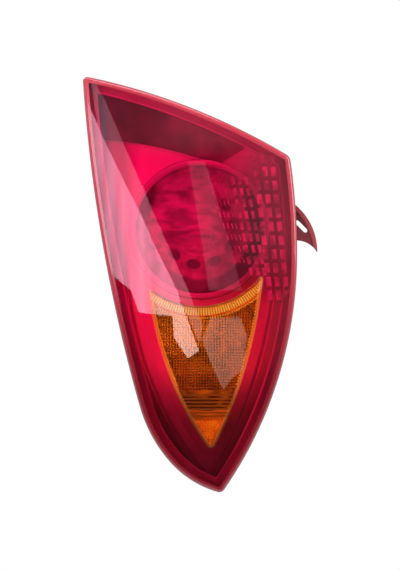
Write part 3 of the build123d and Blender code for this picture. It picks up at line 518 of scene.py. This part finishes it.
worn = (
    (red_lens(), ["outer_lens"]),
    (amber_lens(), ["amber_lens"]),
    (smoked_optic(), ["optic_panel"]),
    (metallised_satin(), ["bezel"]),
    (dark_trim(), ["upper_trim"]),
    (bright_ring, ["ring_trim"]),
    (mask_metallised(), ["stop_mask"]),
    # The stop reflector is white, painted light
    (white_painted_light, ["stop_reflector"]),
    (metallised(), ["turn_reflector"]),
    (ear_red, ["locating_ear"]),
    (housing_black, ["housing", "connector_shell"]),
    (holder_grey, ["bulb_holder"]),
    (seal, ["lens_seal", "holder_gasket", "vent_cap"]),
    (foam, ["body_gasket"]),
    (bulb_clear, ["stop_bulb_glass"]),
    (bulb_amber, ["turn_bulb_glass"]),
    (brass, ["stop_bulb_base", "turn_bulb_base", "tail_strip", "stop_strip", "turn_strip", "earth_strip",
             "connector_blades"]),
    (steel, ["stop_bulb_filaments", "turn_bulb_filament", "socket_springs", "upper_stud", "lower_stud",
             "reflector_screws"]),
)
for material, names in worn:
    for name in names:
        nodes[name].data.materials.clear()
        nodes[name].data.materials.append(material)


# Second finishes, told apart by how deep a face lies below the lens face and which way it faces

# Most that the normal of a wall has along Y
WALL = 0.5

# Rim of the red lens, and the skirt below it
RIM_TOP = 0.0007
RIM_FOOT = 0.03
RIM_FACING = -0.05
SIDE_FACING = 0.3
SIDE_OUTWARD = 0.03
SKIRT_FACING = -0.55
LENS_MID_Z = -0.16

# Pads of the clear sheet
PADS_DEPTH = 0.0037

# Ledge and lip of the tray
LEDGE_TOP = 0.016
LEDGE_FOOT = 0.0205
LIP_TOP = 0.0145
LIP_FOOT = 0.024
LIP_PARTING_X = AXIS_X + 0.018

# Ribs of the amber window with the gaps between them, its bars, and its foot with the edge
GAPS_TOP = 0.0026
RIBS_TOP = 0.0033
RIBS_FOOT = 0.0046
BARS_TOP = 0.0036
BARS_FOOT = 0.0048
BARS_Z = AXIS_Z - 0.155
AMBER_FOOT_TOP = 0.018
AMBER_EDGE_TOP = 0.0205
AMBER_EDGE_R = 0.075

# Ledge and rim of the bowl behind the amber window
BOWL_FACING = -0.9
BOWL_LEDGE_Z = AXIS_Z - 0.176
BOWL_X = AXIS_X + 0.007
BOWL_Z = AXIS_Z - 0.111
BOWL_RING_R = 0.0635
BOWL_RIM_R = 0.0685


def paint(name, material, test):
    """Second finish on the faces of one moulding that pass a test of place, depth and normal."""
    mesh = nodes[name].data
    mesh.materials.append(material)
    for face in mesh.polygons:
        if test(face.center, face.center.y - skin_y(face.center.x, face.center.z), face.normal):
            face.material_index = len(mesh.materials) - 1


def is_rim(place, depth, normal):
    outward = (place.x - AXIS_X) * normal.x + (place.z - LENS_MID_Z) * normal.z
    on_front = normal.y < RIM_FACING and depth < RIM_FOOT
    on_side = normal.y < SIDE_FACING and outward > SIDE_OUTWARD
    return depth > RIM_TOP and (on_front or on_side)


def is_skirt(place, depth, normal):
    return is_rim(place, depth, normal) and normal.y > SKIRT_FACING


def is_pad(place, depth, normal):
    return depth < PADS_DEPTH and normal.y < -WALL


def is_ledge(place, depth, normal):
    return LEDGE_TOP < depth < LEDGE_FOOT


def is_lip(place, depth, normal):
    return depth < LIP_TOP or (depth < LIP_FOOT and abs(normal.y) < WALL)


def is_inner_lip(place, depth, normal):
    return is_lip(place, depth, normal) and place.x < LIP_PARTING_X


def is_outer_lip(place, depth, normal):
    return is_lip(place, depth, normal) and place.x >= LIP_PARTING_X


def is_band_gap(place, depth, normal):
    return GAPS_TOP < depth < RIBS_TOP and from_chamber(place.x, place.z) < BAND_R


def is_band_rib(place, depth, normal):
    return RIBS_TOP < depth < RIBS_FOOT and from_chamber(place.x, place.z) < BAND_R


def is_bar(place, depth, normal):
    return BARS_TOP < depth < BARS_FOOT and normal.y > WALL and place.z < BARS_Z


def is_amber_foot(place, depth, normal):
    return depth > AMBER_FOOT_TOP and abs(normal.y) > WALL


def is_amber_foot_edge(place, depth, normal):
    return depth > AMBER_EDGE_TOP and abs(normal.y) < WALL and from_chamber(place.x, place.z) > AMBER_EDGE_R


def is_bowl_ledge(place, depth, normal):
    return normal.y < BOWL_FACING and place.z < BOWL_LEDGE_Z


def is_bowl_rim(place, depth, normal):
    out = math.hypot(place.x - BOWL_X, place.z - BOWL_Z)
    return normal.y < BOWL_FACING and BOWL_RING_R < out < BOWL_RIM_R


# Painted shade on the rim and the skirt, darker towards the point
paint("outer_lens", red_rim, is_rim)
paint("outer_lens", red_skirt, is_skirt)
paint("optic_panel", frosted_pads(), is_pad)
# Painted light on the ledge, painted highlights on the lip, both darker towards the point as painted shade
paint("bezel", ledge_painted_light, is_ledge)
paint("bezel", inner_lip_highlight, is_inner_lip)
paint("bezel", outer_lip_highlight, is_outer_lip)
# Painted shade in the gaps and on the bars, painted glow on the ribs and the edge of the foot, painted light
# and shade on the foot
paint("amber_lens", amber_gaps, is_band_gap)
paint("amber_lens", amber_glow_paint, is_band_rib)
paint("amber_lens", amber_bars, is_bar)
paint("amber_lens", amber_foot, is_amber_foot)
paint("amber_lens", amber_glow_paint, is_amber_foot_edge)
# Painted highlights on the ledge and rim of the bowl
paint("turn_reflector", white_painted_light, is_bowl_ledge)
paint("turn_reflector", white_painted_light, is_bowl_rim)


# Small forms that the solids leave out

# Depth below the lens face at which forms on the inner face of the amber window begin
AMBER_BACK = 0.00305


def piece(name, verts, faces, material):
    """Added mesh that stays with the lamp."""
    mesh = bpy.data.meshes.new(name)
    mesh.from_pydata(verts, [], faces)
    mesh.update()
    mesh.materials.append(material)
    made = bpy.data.objects.new(name, mesh)
    bpy.context.scene.collection.objects.link(made)
    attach(made, "root")
    return made


def ring(cx, y, cz, r, count):
    """Points of a circle round an axis along Y."""
    turns = [2 * math.pi * i / count for i in range(count)]
    return [(cx + r * math.cos(turn), y, cz + r * math.sin(turn)) for turn in turns]


def prisms():
    """Grid of little pyramids on the inner face of the amber window, in two fields."""
    pitch = 0.0026
    half = pitch * 0.46
    peak = 0.0041
    columns, rows, top_z = 40, 110, AXIS_Z - 0.035
    edge, band_foot = 0.0042, 0.0850
    verts, faces = [], []
    for column in range(-columns, columns + 1):
        for row in range(rows):
            x, z = AXIS_X + column * pitch, top_z - row * pitch
            if not in_amber(x, z, edge) or from_chamber(x, z) < band_foot or PLAIN_FOOT < z < PLAIN_TOP:
                continue
            first = len(verts)
            apex = first + 4
            for dx, dz in ((-half, -half), (half, -half), (half, half), (-half, half)):
                verts.append((x + dx, skin_y(x + dx, z + dz) + AMBER_BACK, z + dz))
            verts.append((x, skin_y(x, z) + peak, z))
            faces.append((first, first + 1, first + 2, first + 3))
            faces += [(first + (corner + 1) % 4, first + corner, apex) for corner in range(4)]
    made = piece("amber_prisms", verts, faces, amber_clear)
    made.data.materials.append(amber_sparkle())
    faces_each = 5
    for face in made.data.polygons:
        slanted = face.index % faces_each != 0
        face.material_index = 1 if slanted and face.center.z < PLAIN_FOOT else 0


def beads():
    """Beads below the ribbed band and down both sides of the amber window."""
    band_row_r, band_row_count = 0.0846, 60
    first_degree, step_degrees = 225, 1.62
    outer_step, outer_count = -0.0030, 60
    inner_step, inner_count = 0.0019, 90
    inset, edge, lowest = 0.0036, 0.0030, AXIS_Z - 0.150
    dome = ((0.0008, 0.0), (0.00066, 0.00045), (0.00036, 0.00072))
    around, peak = 8, 0.0008
    places = []
    for i in range(band_row_count):
        angle = math.radians(first_degree + i * step_degrees)
        places.append((AXIS_X + band_row_r * math.cos(angle), AXIS_Z + band_row_r * math.sin(angle)))
    places += [(x, z) for _, x, z in along(outer_side, OUTER, outer_step, -inset, outer_count)]
    places += [(x, z) for _, x, z in along(inner_side, INNER, inner_step, -inset, inner_count)]
    verts, faces = [], []
    for x, z in places:
        if not in_amber(x, z, edge) or z < lowest:
            continue
        first, y = len(verts), skin_y(x, z) + AMBER_BACK
        for r, rise in dome:
            verts += ring(x, y + rise, z, r, around)
        verts.append((x, y + peak, z))
        faces.append(tuple(range(first, first + around)))
        for low in (first, first + around):
            for at in range(around):
                after = (at + 1) % around
                faces.append((low + after, low + at, low + around + at, low + around + after))
        last = first + 2 * around
        for at in range(around):
            faces.append((last + (at + 1) % around, last + at, last + around))
    # The beads are pale yellow, a painted glow
    piece("amber_beads", verts, faces, amber_glow_paint)


def ridges():
    """Raised lines on the tray, level with the sides of the amber window."""
    section = ((-0.00055, -0.00005), (-0.0004, 0.00035), (0.0, 0.0005), (0.0004, 0.00035),
               (0.00055, -0.00005))
    pitch, steps, wide = 0.0009, 240, len(section)
    tray_top, tray_foot, highest = 0.0215, 0.030, AXIS_Z - 0.062
    before_lamp, backwards = -0.2, Vector((0, 1, 0))
    tray = nodes["bezel"].data
    tree = BVHTree.FromPolygons([v.co for v in tray.vertices], [tuple(f.vertices) for f in tray.polygons])
    verts, faces = [], []
    for side, start, way, outset, lowest in ((inner_side, INNER, 1, 0.0200, AXIS_Z - 0.190),
                                             (outer_side, OUTER, -1, 0.0130, AXIS_Z - 0.180)):
        first = len(verts)
        for angle, x, z in along(side, start, way * pitch, outset, steps):
            hit = tree.ray_cast(Vector((x, before_lamp, z)), backwards)[0]
            if hit is None or not tray_top < hit.y - skin_y(x, z) < tray_foot or not lowest < z < highest:
                continue
            across_x, across_z = way * math.cos(angle), way * math.sin(angle)
            verts += [(x + across * across_x, hit.y - up, z + across * across_z) for across, up in section]
        for row in range(first, len(verts) - wide, wide):
            for at in range(wide):
                after = (at + 1) % wide
                faces.append((row + at, row + after, row + wide + after, row + wide + at))
        faces.append(tuple(range(first + wide - 1, first - 1, -1)))
        faces.append(tuple(range(len(verts) - wide, len(verts))))
    # The ridges take the foot's pale graded colour, painted light and shade
    piece("tray_ridges", verts, faces, amber_foot)


def stud(name):
    """Stud with its rolled thread, in place of the plain one."""
    low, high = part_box(name)
    cx, cz = (low[0] + high[0]) / 2, (low[2] + high[2]) / 2
    collar_r, collar_l = (high[0] - low[0]) / 2, 0.009
    neck_r, core_r, crest_r, end_r = 0.00265, 0.00248, 0.003, 0.0021
    thread_from, chamfer = 0.0092, 0.0006
    pitch, steps_each, flat_crest = 0.001, 6, 1.25
    fade_l, end_fade = 0.0012, 0.25
    around = 32
    start, end = low[1] + thread_from, high[1] - chamfer
    shoulder = low[1] + collar_l
    verts = []
    for y, r in ((low[1], 0.0), (low[1], collar_r), (shoulder, collar_r), (shoulder, neck_r)):
        verts += ring(cx, y, cz, r, around)
    steps = int((end - start) / (pitch / steps_each))
    for i in range(steps + 1):
        y = start + (end - start) * i / steps
        fade = max(0.0, min(1.0, (end - y) / fade_l + end_fade, (y - start) / fade_l))
        for at in range(around):
            crest = 1 - abs(2 * (((y - start) / pitch - at / around) % 1.0) - 1)
            r = core_r + (crest_r - core_r) * min(1.0, crest * flat_crest) * fade
            turn = 2 * math.pi * at / around
            verts.append((cx + r * math.cos(turn), y, cz + r * math.sin(turn)))
    verts += ring(cx, high[1], cz, end_r, around)
    faces = []
    last = len(verts) - around
    for row in range(0, last, around):
        for at in range(around):
            after = (at + 1) % around
            faces.append((row + at, row + after, row + around + after, row + around + at))
    faces.append(tuple(range(last, len(verts))))
    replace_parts(piece(name + "_thread", verts, faces, steel), name)


prisms()
beads()
ridges()
stud("upper_stud")
stud("lower_stud")


# Stage

def stage_piece(name, verts, material):
    """Flat piece of the stage."""
    mesh = bpy.data.meshes.new(name)
    mesh.from_pydata(verts, [], [tuple(range(len(verts)))])
    mesh.materials.append(material)
    made = bpy.data.objects.new(name, mesh)
    bpy.context.scene.collection.objects.link(made)
    return made


def floor():
    """Pale floor below the lamp."""
    z, half, near, far = -0.62, 2.0, -0.25, 1.6
    finish = Finish("floor_pale")
    finish.give("Base Color", finish.ramp(finish.noise(3.0), (0.3, 0.80), (0.7, 0.84)))
    finish.give("Roughness", 0.9)
    finish.give("Emission Color", (1, 1, 1, 1))
    seen = finish.node("LightPath").outputs["Is Camera Ray"]
    finish.give("Emission Strength", finish.spread(seen, 0.0, 0.6))
    corners = [(-half, near, z), (half, near, z), (half, far, z), (-half, far, z)]
    stage_piece("floor", corners, finish.material)


def studio():
    """White behind the lamp; gloss and clear plastic also see a dim room on the camera's side."""
    world = bpy.data.worlds.new("studio")
    bpy.context.scene.world = world
    world.use_nodes = True
    sky = Graph(world.node_tree)
    split = sky.node("SeparateXYZ")
    sky.put(sky.node("TexCoord").outputs["Generated"], split.inputs["Vector"])
    x, y, z = split.outputs
    above = sky.times(sky.spread(z, 0.05, 0.46, 0.31, 0.37), sky.spread(x, 0.55, 1.0, -0.3, 0.0))
    aside = sky.times(sky.spread(x, 0.0, 0.48, 0.25, 0.62), sky.rise(z, -0.15, 0.05))
    far_aside = sky.spread(x, 0.0, 0.30, 0.58, 0.78)
    behind = sky.rise(y, -0.55, -0.1)
    room = sky.most(above, aside, far_aside, behind)
    path = sky.node("LightPath").outputs
    seen = path["Is Camera Ray"]
    shiny = sky.most(path["Is Glossy Ray"], path["Is Transmission Ray"])
    shown = sky.most(sky.times(shiny, room), seen)
    lighting = sky.combine("SUBTRACT", 1.0, sky.most(shiny, seen))
    light = sky.spread(z, 0.35, 1.05, -0.6, 0.6)
    background = world.node_tree.nodes["Background"]
    sky.put((1, 1, 1, 1), background.inputs["Color"])
    sky.put(sky.combine("ADD", shown, sky.times(lighting, light)), background.inputs["Strength"])


def softbox(name, turn, place, width, height, radiance):
    lamp = bpy.data.lights.new(name, "AREA")
    lamp.shape = "RECTANGLE"
    lamp.size = width
    lamp.size_y = height
    lamp.energy = radiance * math.pi * width * height
    made = bpy.data.objects.new(name, lamp)
    made.matrix_world = Matrix.Translation(place) @ turn
    bpy.context.scene.collection.objects.link(made)


def tilt(degrees, about):
    return Matrix.Rotation(math.radians(degrees), 4, about)


def panel(name, y, radiance, corners):
    """Flat light panel before the lamp, a little uneven across its width."""
    finish = Finish(name)
    finish.give("Base Color", (0, 0, 0, 1))
    finish.give("Emission Color", (0.86, 0.88, 1.0, 1))
    uneven = finish.noise(2.2, 2.0, stretch=(1.0, 0.0, 0.12))
    finish.give("Emission Strength", finish.spread(uneven, 0.72 * radiance, 1.28 * radiance, 0.3, 0.7))
    made = stage_piece(name, [(x, y, z) for x, z in corners], finish.material)
    made.visible_camera = False


floor()
studio()
panel("panel_near", y=-3.0, radiance=5.6,
      corners=[(-3.05, 1.77), (-1.24, 0.43), (-0.165, -0.49), (0.4, -1.18), (0.11, -1.26), (-0.25, -1.02),
               (-0.29, -0.78), (-1.19, -0.76), (-1.42, -0.52), (-3.4, 0.05), (-4.6, 0.9), (-4.6, 3.0)])
panel("panel_far", y=-3.05, radiance=1.6,
      corners=[(-2.79, 2.14), (-1.17, 0.715), (0.085, -0.47), (0.5, -0.9), (0.4, -1.1), (-0.165, -0.49),
               (-1.24, 0.43), (-3.05, 1.77), (-3.9, 2.9)])
panel("panel_strip", y=-3.0, radiance=0.55,
      corners=[(0.11, 0.90), (0.55, 0.91), (1.59, -0.52), (0.64, -0.50)])
panel("panel_low", y=-3.0, radiance=1.45,
      corners=[(0.47, -1.04), (0.70, -0.81), (1.55, -0.84), (1.81, -1.07), (1.74, -1.51), (1.37, -1.59),
               (1.10, -1.72), (0.71, -1.32)])
softbox("right", tilt(72, "Z") @ tilt(78, "X"), place=(2.5, -0.85, 0.6), width=0.9, height=1.6, radiance=5.0)
softbox("top", tilt(20, "X"), place=(0.0, -0.5, 1.5), width=1.6, height=0.9, radiance=3.0)

# Camera square to the lamp, and the height that it sees at the plane it is set for
FRAME_X = AXIS_X + 0.0005
FRAME_Z = AXIS_Z - 0.0532
FRAME_H = 0.5514
FRAME_PLANE_Y = -0.062
DISTANCE = 2.6
SENSOR = 36.0
camera = bpy.data.cameras.new("camera")
camera.sensor_width = SENSOR
camera.lens = SENSOR / 2 * DISTANCE / (FRAME_H / 2)
viewer = bpy.data.objects.new("camera", camera)
bpy.context.scene.collection.objects.link(viewer)
viewer.location = (FRAME_X, FRAME_PLANE_Y - DISTANCE, FRAME_Z)
viewer.rotation_euler = (math.radians(90), 0, 0)
bpy.context.scene.camera = viewer
bpy.context.scene.view_settings.view_transform = "Standard"
